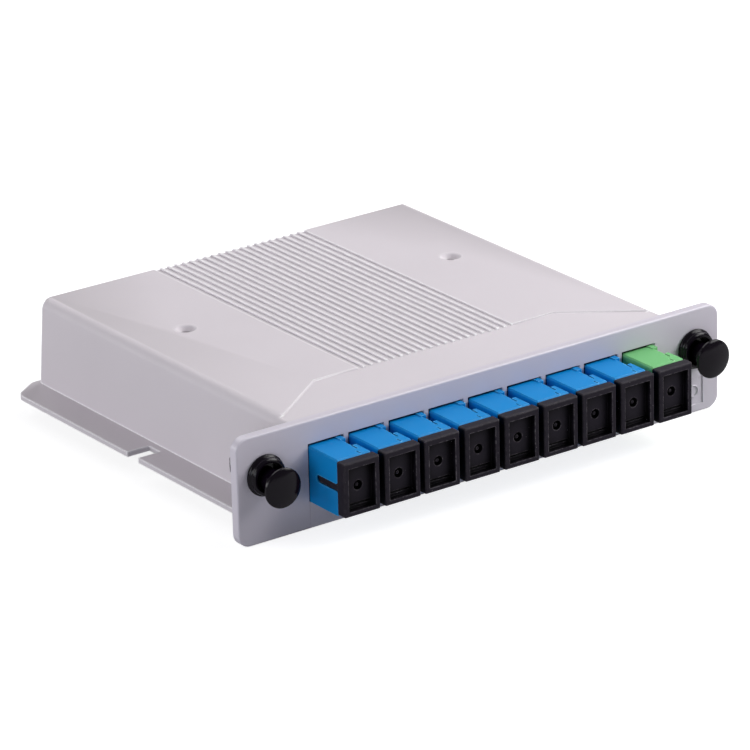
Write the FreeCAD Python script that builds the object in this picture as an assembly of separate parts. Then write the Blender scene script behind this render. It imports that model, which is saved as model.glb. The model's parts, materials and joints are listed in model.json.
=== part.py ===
"""Fibre splitter cassette: a one-to-eight planar splitter in a slide-in moulded case.

Millimetres. X runs along the front panel, Y runs from the panel to the back of the case
and Z points up. The model is drawn with Y = 0 on the panel's front face and Z = 0 on the
panel's lower edge, and every piece is moved once at the end so that the origin lies under
the middle of the whole cassette.
"""
import FreeCAD, Part
import math
import os
from FreeCAD import Vector

# ---------------------------------------------------------------- driving dimensions

# Front panel. Its width also sets the latches, the case and how many ports there are.
PANEL_W = 130.0
PANEL_H = 24.6
PANEL_T = 2.2
PANEL_CORNER_R = 3.0
PANEL_EDGE_R = 0.4
PANEL_PEG_T = 1.2           # pegs on the panel's back that sit inside the cover
PANEL_PEG_L = 4.0
PANEL_PEG_H = 3.0
PANEL_PEG_ZS = (10.5, 17.0)
PARTING_W = 0.2             # fine mould line under the first port
PARTING_DEPTH = 0.12
MARK_W = 5.2                # shallow moulding mark beside the last port
MARK_H = 6.4
MARK_Z = 1.9
MARK_DEPTH = 0.3
MARK_RING_R = 1.45
MARK_RING_T = 0.3

# Row of ports in the panel
PORT_MIDDLE_X = 0.1
PORT_GAP = 0.3              # least room between the collars of two neighbours
CUTOUT_SIDE_CLEAR = 0.205   # round the adapter that passes through
CUTOUT_TOP_CLEAR = 0.45
CUTOUT_BOTTOM_CLEAR = 0.15

# Adapter housing
BORE_W = 7.4                # the plug way through each half
BORE_H = 9.0
ADAPTER_SIDE_WALL = 0.715
ADAPTER_TOP_WALL = 1.865    # above and below the plug way
ADAPTER_OUT = 10.3          # in front of the panel
ADAPTER_IN = 14.8           # behind the panel
ADAPTER_BEVEL = 0.3
COLLAR_SIDE_LAP = 0.635     # collar that bears on the panel's back
COLLAR_TOP_LAP = 1.235
COLLAR_T = 2.2
COLLAR_FLOOR_GAP = 0.255    # collar clear of the tray's floor
WEB_T = 2.0                 # wall between the two halves
KEYWAY_H = 1.65
KEYWAY_L = 7.8
KEYWAY_MOUTH = 0.8
WAIST_FRONT = 5.0           # length of the full-width block at the adapter's front
WAIST_DEPTH = 0.45
WAIST_CORNER = 1.5          # deeper along the top and the underside
WAIST_SKIN = 0.3            # wall left over the plug way at the waist's corners
STOP_RISE = 0.25
STOP_W = 1.4
STOP_L = 1.75               # in front of the panel
PIT_L = 2.1                 # groove and slit in the top of the front block
PIT_W = 0.4
PIT_DEPTH = 0.4
SLIT_L = 1.55
SLIT_W = 0.3
SLIT_DEPTH = 0.3
SLIT_INSET = 1.0            # from the waist's corner
HOLDER_WALL = 0.6           # tube that carries the alignment sleeve
HOLDER_END = 0.9            # its length beyond each end of the sleeve
HOLDER_CLEAR = 0.35         # round it, in the plug and in the connector

# Alignment sleeve
SLEEVE_WALL = 0.34
SLEEVE_L = 11.4
SLEEVE_SLIT = 0.5
SLEEVE_GAP = 0.05

# Dust plug
CAP_SIDE_LAP = 0.21         # cap beyond the adapter's sides
CAP_TOP_INSET = 0.265       # cap short of the adapter's top and underside
CAP_T = 2.55
CAP_SIDE_R = 0.45
CAP_EDGE_R = 0.25
CAP_GAP = 0.05              # cap clear of the adapter's front
POCKET_SIDE_RIM = 1.2
POCKET_TOP_RIM = 1.4
POCKET_BOTTOM_RIM = 1.15
POCKET_DEPTH = 1.6
POCKET_GROOVE_Z = 0.75      # fine groove above the pocket's lower wall
POCKET_GROOVE_H = 0.35
POCKET_GROOVE_DEPTH = 0.35
EYE_R = 1.08
EYE_DEPTH = 1.2
EYE_PIN_R = 0.45
EYE_PIN_DROP = 0.4
PLUG_BODY_L = 8.9
PLUG_CLEAR = 0.12
PLUG_FLOOR_T = 2.4
PLUG_KEY_INSET = 0.1

# Inner connector, plugged into the back of each adapter
CONNECTOR_L = 20.0
CONNECTOR_CLEAR = 0.1
CONNECTOR_GAP = 1.0         # connector clear of the web
CONNECTOR_MOUTH_ROOM = 1.4  # mouth deeper than the sleeve's holder reaches
FERRULE_R = 1.23
FERRULE_CLEAR = 0.03
NECK_R = 2.5
NECK_L = 3.0
BOOT_R = 2.2
BOOT_TIP_R = 1.2
BOOT_L = 9.0

# Push latches
LATCH_INSET = 7.0           # from each end of the panel
LATCH_ROOM = 2.85           # barrel clear of the cover's side
LATCH_Z = 14.9
BARREL_WALL = 0.67
BARREL_NECK_STEP = 0.05     # wider where the barrel passes through the panel
BARREL_CLEAR = 0.08
BARREL_L = 8.2
TIP_STEP = 0.13             # pointed tip's end beyond the barrel's wall
TIP_L = 4.0
LEG_SLIT = 0.8
LEG_START = 4.0
FLANGE_R = 4.7
FLANGE_T = 1.1
COLLAR_RISE = 1.3
COLLAR_STEP = 0.15          # collar wider than the barrel
COLLAR_BEVEL = 0.3
COLLAR_FOOT = 0.25          # how far the collar widens towards the flange
RIM_STEPS = 6
STEM_R = 2.45
STEM_CLEAR = 0.08
STEM_BEVEL = 0.4
STEM_IN = 3.6               # stem behind the panel's front face, latch pulled out
KNOB_R = 4.45
KNOB_Y = 7.0                # knob's rim in front of the panel
KNOB_RIM_T = 0.5
KNOB_DOME = 0.55
DOME_STEPS = 4
KNOB_FLARE_L = 1.1
KNOB_NECK_STEP = 0.6        # flare wider than the stem at the knob's back
KNOB_NECK_L = 0.5

# Base tray with its guide rails
CASE_DEPTH = 100.0          # panel front to the tray's rear edge
RAIL_OUT = 7.45             # rail beyond the cover's side
RAIL_Z = 3.4
RAIL_T = 1.26
REAR_CHAMFER_X = 6.2
REAR_CHAMFER_Y = 4.4
REAR_CORNER_R = 3.0
NOTCH_Y = 46.9
NOTCH_L = 4.3
NOTCH_DEPTH = 5.75
LIP_T = 1.2
LIP_H = 4.0
LIP_CLEAR = 0.15
COMB_SIDE_CLEAR = 0.265     # posts that trap the adapters' collars
COMB_L = 3.0
COMB_H = 11.34
COMB_CLEAR = 0.1

# Cover
COVER_ROOM = 4.66           # its foot beyond the last collars of the row
COVER_BACK_INSET = 1.8      # its foot short of the tray's rear edge
COVER_DRAFT = math.radians(2.7)
COVER_EDGE_R = 2.5
COVER_WALL = 1.8
FLUTE_COUNT = 21
FLUTE_PITCH = 2.01
FLUTE_W = 1.4
FLUTE_DEPTH = 0.4
STEP_Y = 17.8               # lowered front field of the cover
STEP_CORNER_INSET = 2.65
STEP_CORNER_Y = 5.4
STEP_SLANT_W = 16.7

# Two countersunk holes right through the case
FIXING_SHIFT = 0.51         # inwards from midway between the last two ports
FIXING_Y = 61.25
FIXING_R = 1.4
FIXING_SINK = 1.2
BOSS_WALL = 1.8
BOSS_SPLIT_Z = 13.0

# Splitter, its pad and the fan-out block, along X near the back wall
SPLITTER_L = 40.0
SPLITTER_SIDE = 4.0
SPLITTER_EDGE_R = 0.5
SPLITTER_X = 8.0
SPLITTER_ROOM = 6.7         # its middle in front of the cover's back
PAD_T = 1.2
PAD_EDGE = 0.2              # pad wider than the bar on each side
PAD_INSET = 2.0             # pad shorter than the bar at each end
FAN_L = 6.0
FAN_EDGE = 0.3
FAN_MARGIN = 1.2

# Fibres in their tight buffers
FIBRE_R = 0.45
FIBRE_LEVEL_RISE = 1.34     # lowest output fibre above the tray's floor
FIBRE_LEVEL_PITCH = 1.2
TURN_ROOM = 5.95            # output fibres turn back this far inside the cover's foot
CROSS_ROOM = 5.55           # and cross the case this far behind the bosses
LEVEL_RUN = 6.8             # straight run behind each connector's boot
DROP_RUN = 7.0              # stretch that brings each fibre to its connector's height
ARC_SHARE = 0.45

# ---------------------------------------------------------------- derived places

# Ferrule, sleeve and the holder round them
SLEEVE_BORE_R = FERRULE_R + FERRULE_CLEAR
SLEEVE_R = SLEEVE_BORE_R + SLEEVE_WALL
HOLDER_R = SLEEVE_R + SLEEVE_GAP + HOLDER_WALL
HOLDER_L = SLEEVE_L + 2 * HOLDER_END
PLUG_BORE_R = HOLDER_R + HOLDER_CLEAR
CONNECTOR_MOUTH_R = HOLDER_R + HOLDER_CLEAR

# Adapter, its cut-out and its place on the tray's floor
FLOOR_Z = RAIL_Z + RAIL_T
ADAPTER_W = BORE_W + 2 * ADAPTER_SIDE_WALL
ADAPTER_H = BORE_H + 2 * ADAPTER_TOP_WALL
COLLAR_W = ADAPTER_W + 2 * COLLAR_SIDE_LAP
COLLAR_H = ADAPTER_H + 2 * COLLAR_TOP_LAP
ADAPTER_Z = FLOOR_Z + COLLAR_FLOOR_GAP + COLLAR_TOP_LAP
ADAPTER_TOP = ADAPTER_Z + ADAPTER_H
ADAPTER_BACK_Y = PANEL_T + ADAPTER_IN
CUTOUT_W = ADAPTER_W + 2 * CUTOUT_SIDE_CLEAR
CUTOUT_Z = ADAPTER_Z - CUTOUT_BOTTOM_CLEAR
CUTOUT_H = ADAPTER_TOP + CUTOUT_TOP_CLEAR - CUTOUT_Z

# Latches, cover and rails, inwards from the panel's ends
BARREL_R = STEM_R + STEM_CLEAR + BARREL_WALL
BARREL_NECK_R = BARREL_R + BARREL_NECK_STEP
COLLAR_R = BARREL_R + COLLAR_STEP
TIP_R = BARREL_WALL + TIP_STEP
KNOB_NECK_R = STEM_R + KNOB_NECK_STEP
LATCH_X = PANEL_W / 2 - LATCH_INSET
COVER_HALF_W = LATCH_X - BARREL_R - LATCH_ROOM
RAIL_HALF_W = COVER_HALF_W + RAIL_OUT
STEP_CORNER_X = COVER_HALF_W - STEP_CORNER_INSET
STEP_HALF_W = STEP_CORNER_X - STEP_SLANT_W

# Row of ports, as many as the cover takes, spread evenly across it
ROW_W = 2 * (COVER_HALF_W - COVER_ROOM)
PORT_COUNT = 1 + int((ROW_W - COLLAR_W) / (COLLAR_W + PORT_GAP))
PORT_PITCH = (ROW_W - COLLAR_W) / (PORT_COUNT - 1)
PORT_XS = [PORT_MIDDLE_X + (i - (PORT_COUNT - 1) / 2) * PORT_PITCH for i in range(PORT_COUNT)]
PORT_Z = ADAPTER_Z + ADAPTER_H / 2
COMB_T = PORT_PITCH - ADAPTER_W - 2 * COMB_SIDE_CLEAR
COMB_TOP_Z = FLOOR_Z + COMB_H

# Web, connector and dust plug along Y
WEB_Y = PANEL_T
SLEEVE_MIDDLE_Y = WEB_Y + WEB_T / 2
CONNECTOR_Y = WEB_Y + WEB_T + CONNECTOR_GAP
CONNECTOR_MOUTH_L = SLEEVE_MIDDLE_Y + HOLDER_L / 2 - CONNECTOR_Y + CONNECTOR_MOUTH_ROOM
CONNECTOR_END_Y = CONNECTOR_Y + CONNECTOR_L + NECK_L + BOOT_L
CAP_W = ADAPTER_W + 2 * CAP_SIDE_LAP
CAP_H = ADAPTER_H - 2 * CAP_TOP_INSET
CAP_FRONT_Y = -ADAPTER_OUT - CAP_GAP - CAP_T

# Cover's back, and its top one flute's depth over the panel's top edge
COVER_BACK_Y = CASE_DEPTH - COVER_BACK_INSET
COVER_TOP_Z = PANEL_H + FLUTE_DEPTH
FLUTE_FLOOR_Z = PANEL_H

# Fixing holes between the last two fibres on each side
FIXING_X = (PORT_COUNT / 2 - 1) * PORT_PITCH - FIXING_SHIFT
FIXING_SINK_R = FIXING_R + FIXING_SINK
BOSS_R = FIXING_R + BOSS_WALL

# Splitter bar and the fibres' routes
SPLITTER_Y = COVER_BACK_Y - SPLITTER_ROOM
SPLITTER_Z = FLOOR_Z + PAD_T + SPLITTER_SIDE / 2
PAD_W = SPLITTER_SIDE + 2 * PAD_EDGE
PAD_L = SPLITTER_L - 2 * PAD_INSET
FAN_W = SPLITTER_SIDE + 2 * FAN_EDGE
FIBRE_LEVEL_Z = FLOOR_Z + FIBRE_LEVEL_RISE
TURN_X = TURN_ROOM - COVER_HALF_W
CROSS_Y = FIXING_Y + BOSS_R + CROSS_ROOM
LEVEL_Y = CONNECTOR_END_Y + LEVEL_RUN
DROP_Y = LEVEL_Y + DROP_RUN

BIG = 200.0

# The origin lies under the middle of the cassette, front of the caps to back of the tray.
ORIGIN_Y = (CASE_DEPTH + CAP_FRONT_Y) / 2


# ---------------------------------------------------------------- small helpers

def box(x0, x1, y0, y1, z0, z1):
    return Part.makeBox(x1 - x0, y1 - y0, z1 - z0, Vector(x0, y0, z0))


def centred_box(x, z, width, height, y0, y1):
    return box(x - width / 2, x + width / 2, y0, y1, z - height / 2, z + height / 2)


def rod(x, z, radius, y0, y1):
    return Part.makeCylinder(radius, y1 - y0, Vector(x, y0, z), Vector(0, 1, 0))


def column(x, y, radius, z0, z1):
    return Part.makeCylinder(radius, z1 - z0, Vector(x, y, z0), Vector(0, 0, 1))


def prism(points, z0, z1):
    corners = [Vector(x, y, z0) for x, y in points]
    face = Part.Face(Part.makePolygon(corners + corners[:1]))
    return face.extrude(Vector(0, 0, z1 - z0))


def turned(profile, x, z):
    """Solid of revolution about a line along Y, from (radius, y) points."""
    corners = [Vector(r, y, 0) for r, y in profile]
    face = Part.Face(Part.makePolygon(corners + corners[:1]))
    solid = face.revolve(Vector(0, 0, 0), Vector(0, 1, 0), 360)
    solid.translate(Vector(x, 0, z))
    return solid


def edges_where(shape, test):
    return [edge for edge in shape.Edges if test(edge)]


def runs_along(edge, axis):
    first = edge.Vertexes[0].Point
    last = edge.Vertexes[-1].Point
    run = last - first
    if run.Length < 1e-6:
        return False
    return abs(run.normalize().dot(axis)) > 0.999


def fused(first, others):
    return first.fuse(others).removeSplitter()


def arc_points(radius_point, count, start, stop, radius):
    """Points of a round stretch of a turned profile, angles in degrees."""
    r0, y0 = radius_point
    points = []
    for i in range(count + 1):
        angle = math.radians(start + (stop - start) * i / count)
        points.append((r0 + radius * math.cos(angle), y0 + radius * math.sin(angle)))
    return points


# ---------------------------------------------------------------- front panel

def front_panel():
    plate = box(-PANEL_W / 2, PANEL_W / 2, 0, PANEL_T, 0, PANEL_H)
    along_y = Vector(0, 1, 0)
    corners = edges_where(plate, lambda e: runs_along(e, along_y))
    plate = plate.makeFillet(PANEL_CORNER_R, corners)
    front_edges = edges_where(plate, lambda e: e.BoundBox.YMax < 1e-6)
    plate = plate.makeFillet(PANEL_EDGE_R, front_edges)

    cuts = []
    for x in PORT_XS:
        cuts.append(box(x - CUTOUT_W / 2, x + CUTOUT_W / 2, -1, PANEL_T + 1,
                        CUTOUT_Z, CUTOUT_Z + CUTOUT_H))
    for x in (-LATCH_X, LATCH_X):
        cuts.append(rod(x, LATCH_Z, BARREL_NECK_R + BARREL_CLEAR, -1, PANEL_T + 1))
    line_x = PORT_XS[0] - CUTOUT_W / 2
    cuts.append(box(line_x, line_x + PARTING_W, -1, PARTING_DEPTH, -1, CUTOUT_Z))
    cuts.append(moulding_mark())
    plate = plate.cut(cuts)
    return fused(plate, panel_pegs())


def moulding_mark():
    """Shallow pocket with a raised ring left standing in it."""
    pocket = box(LATCH_X - MARK_W / 2, LATCH_X + MARK_W / 2, -1, MARK_DEPTH,
                 MARK_Z, MARK_Z + MARK_H)
    middle_z = MARK_Z + MARK_H / 2
    ring = rod(LATCH_X, middle_z, MARK_RING_R, -1, MARK_DEPTH)
    ring = ring.cut(rod(LATCH_X, middle_z, MARK_RING_R - MARK_RING_T, -2, MARK_DEPTH + 1))
    return pocket.cut(ring)


def panel_pegs():
    pegs = []
    for z in PANEL_PEG_ZS:
        outer = cover_half_width(z + PANEL_PEG_H) - COVER_WALL - LIP_CLEAR
        for side in (-1, 1):
            xs = sorted((side * outer, side * (outer - PANEL_PEG_T)))
            pegs.append(box(xs[0], xs[1], PANEL_T, PANEL_T + PANEL_PEG_L, z, z + PANEL_PEG_H))
    return pegs


# ---------------------------------------------------------------- base tray

def base_tray():
    floor = tray_outline()
    floor = floor.fuse([tray_lip()] + tray_bosses() + adapter_comb()).removeSplitter()
    holes = [column(x, FIXING_Y, FIXING_R, 0, BOSS_SPLIT_Z + 1) for x in (-FIXING_X, FIXING_X)]
    return floor.cut(holes)


def tray_outline():
    """Floor and rails in one sheet, with a notch in each rail and cut rear corners."""
    right = [
        (RAIL_HALF_W, PANEL_T),
        (RAIL_HALF_W, NOTCH_Y),
        (RAIL_HALF_W - NOTCH_DEPTH, NOTCH_Y),
        (RAIL_HALF_W - NOTCH_DEPTH, NOTCH_Y + NOTCH_L),
        (RAIL_HALF_W, NOTCH_Y + NOTCH_L),
        (RAIL_HALF_W, CASE_DEPTH - REAR_CHAMFER_Y),
        (RAIL_HALF_W - REAR_CHAMFER_X, CASE_DEPTH),
    ]
    left = [(-x, y) for x, y in reversed(right)]
    sheet = prism(right + left, RAIL_Z, FLOOR_Z)
    upright = Vector(0, 0, 1)
    rear = edges_where(sheet, lambda e: runs_along(e, upright)
                       and e.BoundBox.YMin > CASE_DEPTH - REAR_CHAMFER_Y - 1)
    return sheet.makeFillet(REAR_CORNER_R, rear)


def tray_lip():
    """Low wall that locates the cover, open at the front."""
    lip_top = FLOOR_Z + LIP_H
    outer = cover_half_width(lip_top) - COVER_WALL - LIP_CLEAR
    back = cover_back(lip_top) - COVER_WALL - LIP_CLEAR
    lip = box(-outer, outer, PANEL_T, back, FLOOR_Z, lip_top)
    inner = box(-outer + LIP_T, outer - LIP_T, 0, back - LIP_T, FLOOR_Z - 1, lip_top + 1)
    return lip.cut(inner)


def tray_bosses():
    return [column(x, FIXING_Y, BOSS_R, RAIL_Z, BOSS_SPLIT_Z) for x in (-FIXING_X, FIXING_X)]


def adapter_comb():
    """Posts behind the collars, one on each side of every adapter."""
    y0 = PANEL_T + COLLAR_T + COMB_CLEAR
    first_x = PORT_XS[0] - PORT_PITCH / 2
    posts = []
    for i in range(PORT_COUNT + 1):
        x = first_x + i * PORT_PITCH
        posts.append(box(x - COMB_T / 2, x + COMB_T / 2, y0, y0 + COMB_L, RAIL_Z, COMB_TOP_Z))
    return posts


# ---------------------------------------------------------------- cover

def cover_half_width(z):
    return COVER_HALF_W - (z - FLOOR_Z) * math.tan(COVER_DRAFT)


def cover_back(z):
    return COVER_BACK_Y - (z - FLOOR_Z) * math.tan(COVER_DRAFT)


def cover_level(z, inset, front):
    """Outline of the drafted cover at one height, as a closed wire."""
    half = cover_half_width(z) - inset
    back = cover_back(z) - inset
    corners = [Vector(-half, front, z), Vector(half, front, z),
               Vector(half, back, z), Vector(-half, back, z)]
    return Part.Wire(Part.makePolygon(corners + corners[:1]))


def cover():
    outside = Part.makeLoft([cover_level(FLOOR_Z, 0, PANEL_T),
                             cover_level(COVER_TOP_Z, 0, PANEL_T)], True, True)
    along_y = Vector(0, 1, 0)
    shoulders = edges_where(outside, lambda e: e.BoundBox.ZMin > COVER_TOP_Z - 0.01
                            and abs(e.BoundBox.Center.x) > 1)
    outside = outside.makeFillet(COVER_EDGE_R, shoulders)

    inside = Part.makeLoft([cover_level(FLOOR_Z - 1, COVER_WALL, 0),
                            cover_level(COVER_TOP_Z - COVER_WALL, COVER_WALL, 0)], True, True)
    inner_shoulders = edges_where(inside, lambda e: runs_along(e, along_y)
                                  and e.BoundBox.ZMin > FLOOR_Z)
    inside = inside.makeFillet(COVER_EDGE_R - COVER_WALL / 2, inner_shoulders)
    shell = outside.cut(inside)

    bosses = [column(x, FIXING_Y, BOSS_R, BOSS_SPLIT_Z, COVER_TOP_Z - COVER_WALL / 2)
              for x in (-FIXING_X, FIXING_X)]
    shell = fused(shell, bosses)
    return shell.cut(flutes() + [front_field()] + fixing_holes())


def flutes():
    """Parallel grooves along the roof, from the front field out through the back edge."""
    cuts = []
    for i in range(FLUTE_COUNT):
        x = (i - (FLUTE_COUNT - 1) / 2) * FLUTE_PITCH
        cuts.append(box(x - FLUTE_W / 2, x + FLUTE_W / 2, STEP_Y - 1, COVER_BACK_Y + 1,
                        FLUTE_FLOOR_Z, COVER_TOP_Z + 1))
    return cuts


def front_field():
    """Tapered field behind the panel, level with the panel's top edge."""
    right = [
        (STEP_HALF_W, STEP_Y),
        (STEP_CORNER_X, STEP_CORNER_Y),
        (BIG, STEP_CORNER_Y),
        (BIG, 0),
    ]
    left = [(-x, y) for x, y in reversed(right)]
    return prism(right + left, FLUTE_FLOOR_Z, COVER_TOP_Z + 1)


def fixing_holes():
    cuts = []
    for x in (-FIXING_X, FIXING_X):
        cuts.append(column(x, FIXING_Y, FIXING_R, 0, COVER_TOP_Z + 1))
        cuts.append(Part.makeCone(FIXING_R, FIXING_SINK_R, FIXING_SINK,
                                  Vector(x, FIXING_Y, COVER_TOP_Z - FIXING_SINK),
                                  Vector(0, 0, 1)))
    return cuts


# ---------------------------------------------------------------- adapters and sleeves

def adapter_housing(x):
    front_y = -ADAPTER_OUT
    body = centred_box(x, PORT_Z, ADAPTER_W, ADAPTER_H, front_y, ADAPTER_BACK_Y)
    outside = edges_where(body, lambda e: e.BoundBox.YMax < front_y + 1e-6
                          or (e.BoundBox.ZMin > ADAPTER_TOP - 1e-6
                              and abs(e.BoundBox.Center.x - x) > 1))
    body = body.makeChamfer(ADAPTER_BEVEL, outside)
    body = body.fuse([centred_box(x, PORT_Z, COLLAR_W, COLLAR_H, PANEL_T, PANEL_T + COLLAR_T),
                      adapter_stop(x)])
    body = body.cut(adapter_waist(x) + adapter_top_marks(x))

    ways = [
        centred_box(x, PORT_Z, BORE_W, BORE_H, front_y - 1, WEB_Y),
        centred_box(x, PORT_Z, BORE_W, BORE_H, WEB_Y + WEB_T, ADAPTER_BACK_Y + 1),
        adapter_keyway(x),
    ]
    body = body.cut(ways)
    holder = rod(x, PORT_Z, HOLDER_R, SLEEVE_MIDDLE_Y - HOLDER_L / 2,
                 SLEEVE_MIDDLE_Y + HOLDER_L / 2)
    body = fused(body, [holder])
    return body.cut(rod(x, PORT_Z, SLEEVE_R + SLEEVE_GAP, front_y, ADAPTER_BACK_Y))


def adapter_stop(x):
    """Small raised stop beside the panel, on the adapter's right shoulder."""
    right = x + ADAPTER_W / 2 - WAIST_DEPTH
    return box(right - STOP_W, right, -STOP_L, PANEL_T, PORT_Z, ADAPTER_TOP + STOP_RISE)


def adapter_waist(x):
    """Right side set back between the panel and the front block, deeper at its corners."""
    right = x + ADAPTER_W / 2
    y0 = -ADAPTER_OUT + WAIST_FRONT
    shoulder = (ADAPTER_H - BORE_H) / 2 - WAIST_SKIN
    cuts = [box(right - WAIST_DEPTH, right + 1, y0, 0, 0, PANEL_H)]
    for z0, z1 in ((0, ADAPTER_Z + shoulder), (ADAPTER_TOP - shoulder, PANEL_H)):
        cuts.append(box(right - WAIST_CORNER, right + 1, y0, -STOP_L, z0, z1))
    return cuts


def adapter_top_marks(x):
    right = x + ADAPTER_W / 2
    pit_y = -ADAPTER_OUT + WAIST_FRONT
    pit = box(right - WAIST_CORNER - PIT_W / 2, right - WAIST_CORNER + PIT_W / 2,
              pit_y - PIT_L, pit_y, ADAPTER_TOP - PIT_DEPTH, PANEL_H)
    slit_x = right - WAIST_CORNER - SLIT_INSET
    slit = box(slit_x - SLIT_W / 2, slit_x + SLIT_W / 2, -ADAPTER_OUT + ADAPTER_BEVEL,
               -ADAPTER_OUT + ADAPTER_BEVEL + SLIT_L, ADAPTER_TOP - SLIT_DEPTH, PANEL_H)
    return [pit, slit]


def adapter_keyway(x):
    """Slot in the left wall with a round end and a flared mouth."""
    left = x - ADAPTER_W / 2
    front_y = -ADAPTER_OUT
    half = KEYWAY_H / 2
    end_y = front_y + KEYWAY_L - half
    mouth = KEYWAY_MOUTH
    outline = [
        Part.LineSegment(Vector(0, front_y - 1, -half - mouth),
                         Vector(0, front_y, -half - mouth)),
        Part.Arc(Vector(0, front_y, -half - mouth),
                 Vector(0, front_y + mouth * (1 - math.sqrt(0.5)), -half - mouth * (1 - math.sqrt(0.5))),
                 Vector(0, front_y + mouth, -half)),
        Part.LineSegment(Vector(0, front_y + mouth, -half), Vector(0, end_y, -half)),
        Part.Arc(Vector(0, end_y, -half), Vector(0, end_y + half, 0), Vector(0, end_y, half)),
        Part.LineSegment(Vector(0, end_y, half), Vector(0, front_y + mouth, half)),
        Part.Arc(Vector(0, front_y + mouth, half),
                 Vector(0, front_y + mouth * (1 - math.sqrt(0.5)), half + mouth * (1 - math.sqrt(0.5))),
                 Vector(0, front_y, half + mouth)),
        Part.LineSegment(Vector(0, front_y, half + mouth),
                         Vector(0, front_y - 1, half + mouth)),
        Part.LineSegment(Vector(0, front_y - 1, half + mouth),
                         Vector(0, front_y - 1, -half - mouth)),
    ]
    wire = Part.Wire([segment.toShape() for segment in outline])
    slot = Part.Face(wire).extrude(Vector(ADAPTER_W / 2, 0, 0))
    slot.translate(Vector(left - 1, 0, PORT_Z))
    return slot


def alignment_sleeve(x):
    y0 = SLEEVE_MIDDLE_Y - SLEEVE_L / 2
    y1 = SLEEVE_MIDDLE_Y + SLEEVE_L / 2
    tube = rod(x, PORT_Z, SLEEVE_R, y0, y1).cut(rod(x, PORT_Z, SLEEVE_BORE_R, y0 - 1, y1 + 1))
    slit = box(x - SLEEVE_SLIT / 2, x + SLEEVE_SLIT / 2, y0 - 1, y1 + 1, PORT_Z, PORT_Z + 2 * SLEEVE_R)
    return tube.cut(slit)


# ---------------------------------------------------------------- dust plugs

def dust_plug(x):
    cap_back_y = CAP_FRONT_Y + CAP_T
    cap = centred_box(x, PORT_Z, CAP_W, CAP_H, CAP_FRONT_Y, cap_back_y)
    left_front = edges_where(cap, lambda e: e.BoundBox.XMax < x and e.BoundBox.YMax < CAP_FRONT_Y + 1e-6)
    cap = cap.makeFillet(CAP_SIDE_R, left_front)
    rims = edges_where(cap, lambda e: e.BoundBox.YMax < CAP_FRONT_Y + 1e-6
                       and e.BoundBox.Center.x > x - CAP_W / 2 + CAP_SIDE_R + 0.1)
    cap = cap.makeChamfer(CAP_EDGE_R, rims)

    width = BORE_W - 2 * PLUG_CLEAR
    height = BORE_H - 2 * PLUG_CLEAR
    shank_end_y = cap_back_y + PLUG_BODY_L
    shank = centred_box(x, PORT_Z, width, height, cap_back_y, shank_end_y)
    key_left = x - ADAPTER_W / 2 + PLUG_KEY_INSET
    key_half = KEYWAY_H / 2 - PLUG_CLEAR
    key = box(key_left, x, cap_back_y, -ADAPTER_OUT + KEYWAY_L - KEYWAY_H / 2,
              PORT_Z - key_half, PORT_Z + key_half)
    plug = fused(cap, [shank, key])

    pocket_floor_y = CAP_FRONT_Y + POCKET_DEPTH
    bore_y = CAP_FRONT_Y + POCKET_DEPTH + PLUG_FLOOR_T
    cuts = [
        plug_pocket(x, pocket_floor_y),
        rod(x, PORT_Z, PLUG_BORE_R, bore_y, shank_end_y + 1),
        plug_eye(x, pocket_floor_y),
    ]
    return plug.cut(cuts)


def plug_pocket(x, floor_y):
    z0 = PORT_Z - CAP_H / 2 + POCKET_BOTTOM_RIM
    z1 = PORT_Z + CAP_H / 2 - POCKET_TOP_RIM
    half = CAP_W / 2 - POCKET_SIDE_RIM
    pocket = box(x - half, x + half, CAP_FRONT_Y - 1, floor_y, z0, z1)
    groove_z = z0 + POCKET_GROOVE_Z
    groove = box(x - half, x + half, floor_y - 0.1, floor_y + POCKET_GROOVE_DEPTH,
                 groove_z, groove_z + POCKET_GROOVE_H)
    return pocket.fuse(groove)


def plug_eye(x, floor_y):
    """Blind hole in the pocket's floor with a short pin standing in it."""
    hole = rod(x, PORT_Z, EYE_R, floor_y - 0.1, floor_y + EYE_DEPTH)
    pin = rod(x, PORT_Z, EYE_PIN_R, floor_y + EYE_PIN_DROP, floor_y + EYE_DEPTH)
    return hole.cut(pin)


# ---------------------------------------------------------------- inner connectors

def inner_connector(x):
    width = BORE_W - 2 * CONNECTOR_CLEAR
    height = BORE_H - 2 * CONNECTOR_CLEAR
    y0 = CONNECTOR_Y
    y1 = y0 + CONNECTOR_L
    shell = centred_box(x, PORT_Z, width, height, y0, y1)
    neck_y = y1 + NECK_L
    tail = turned([(0, y1 - 1), (NECK_R, y1 - 1), (NECK_R, neck_y), (BOOT_R, neck_y),
                   (BOOT_TIP_R, neck_y + BOOT_L), (0, neck_y + BOOT_L)], x, PORT_Z)
    shell = fused(shell, [tail])
    shell = shell.cut(rod(x, PORT_Z, CONNECTOR_MOUTH_R, y0 - 1, y0 + CONNECTOR_MOUTH_L))
    ferrule = rod(x, PORT_Z, FERRULE_R, SLEEVE_MIDDLE_Y, y0 + CONNECTOR_MOUTH_L + 1)
    return fused(shell, [ferrule])


# ---------------------------------------------------------------- push latches

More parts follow.
